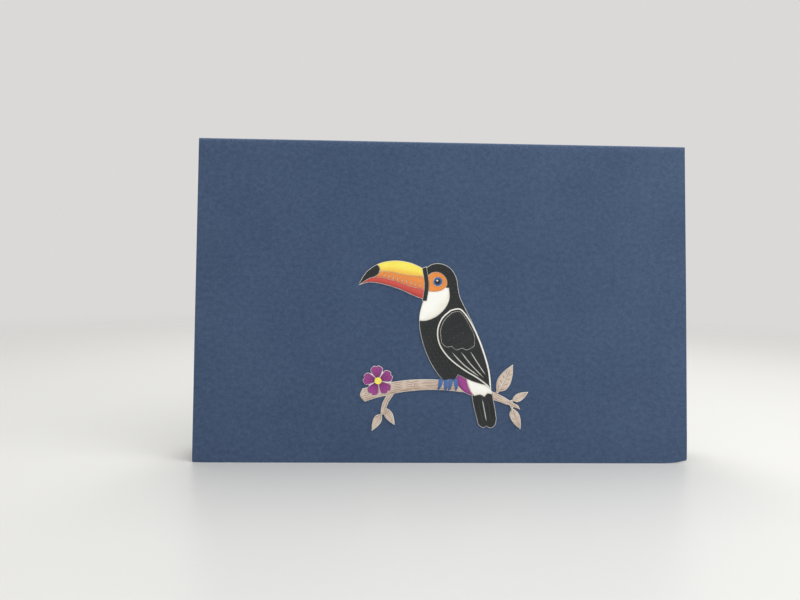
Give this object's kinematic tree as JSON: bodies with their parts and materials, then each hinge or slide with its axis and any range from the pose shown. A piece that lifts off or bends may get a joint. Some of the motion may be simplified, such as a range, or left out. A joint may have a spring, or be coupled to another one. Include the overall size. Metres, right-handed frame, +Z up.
{
  "type": "greeting card",
  "caption": "Folded greeting card that stands as a narrow tent, with a cut-paper picture of a toucan on the front and a white writing panel inside.",
  "frame": {"origin": "on the surface that the card stands on, midway along the card and midway between the feet of its two leaves", "axes": "+X along the fold, to the right as the picture is looked at; +Y from the front leaf to the back leaf; +Z up"},
  "size_m": [0.2, 0.0242, 0.1294],
  "materials": {
    "cover_board": "matt felt-marked",
    "white_paper": "matt smooth",
    "black_paper": "matt",
    "yellow_paper": "matt",
    "orange_paper": "matt",
    "red_paper": "matt",
    "magenta_paper": "matt",
    "blue_paper": "matt",
    "tan_paper": "matt"
  },
  "bodies": {
    "back": {"back_leaf": "cover_board", "writing_panel": "white_paper"},
    "front": {"front_leaf": "cover_board", "bill_base": "black_paper", "bill_culmen": "yellow_paper", "bill_lower": "red_paper", "bill_stripe": "orange_paper", "bill_tip": "black_paper", "bird_body": "black_paper", "blossom_centre": "yellow_paper", "branch_left": "tan_paper", "branch_right": "tan_paper", "eye_glint": "white_paper", "eye_pupil": "black_paper", "eye_ring": "blue_paper", "eye_skin": "orange_paper", "leaf_1": "tan_paper", "leaf_2": "tan_paper", "leaf_3": "tan_paper", "leaf_4": "tan_paper", "leaf_5": "tan_paper", "petal_1": "magenta_paper", "petal_2": "magenta_paper", "petal_3": "magenta_paper", "petal_4": "magenta_paper", "petal_5": "magenta_paper", "picture_backing": "white_paper", "rump": "white_paper", "tail": "black_paper", "throat_bib": "white_paper", "toe_1": "blue_paper", "toe_2": "blue_paper", "toe_3": "blue_paper", "toe_4": "blue_paper", "twig": "tan_paper", "vent": "magenta_paper", "wing_coverts": "black_paper", "wing_feathers": "black_paper", "wing_lining": "white_paper"}
  },
  "joints": [
    {"name": "fold", "type": "hinge", "parent": "back", "child": "front", "pos_m": [0, 0, 0.12951], "axis": [-1, 0, 0], "range_deg": [-10, 170]}
  ]
}
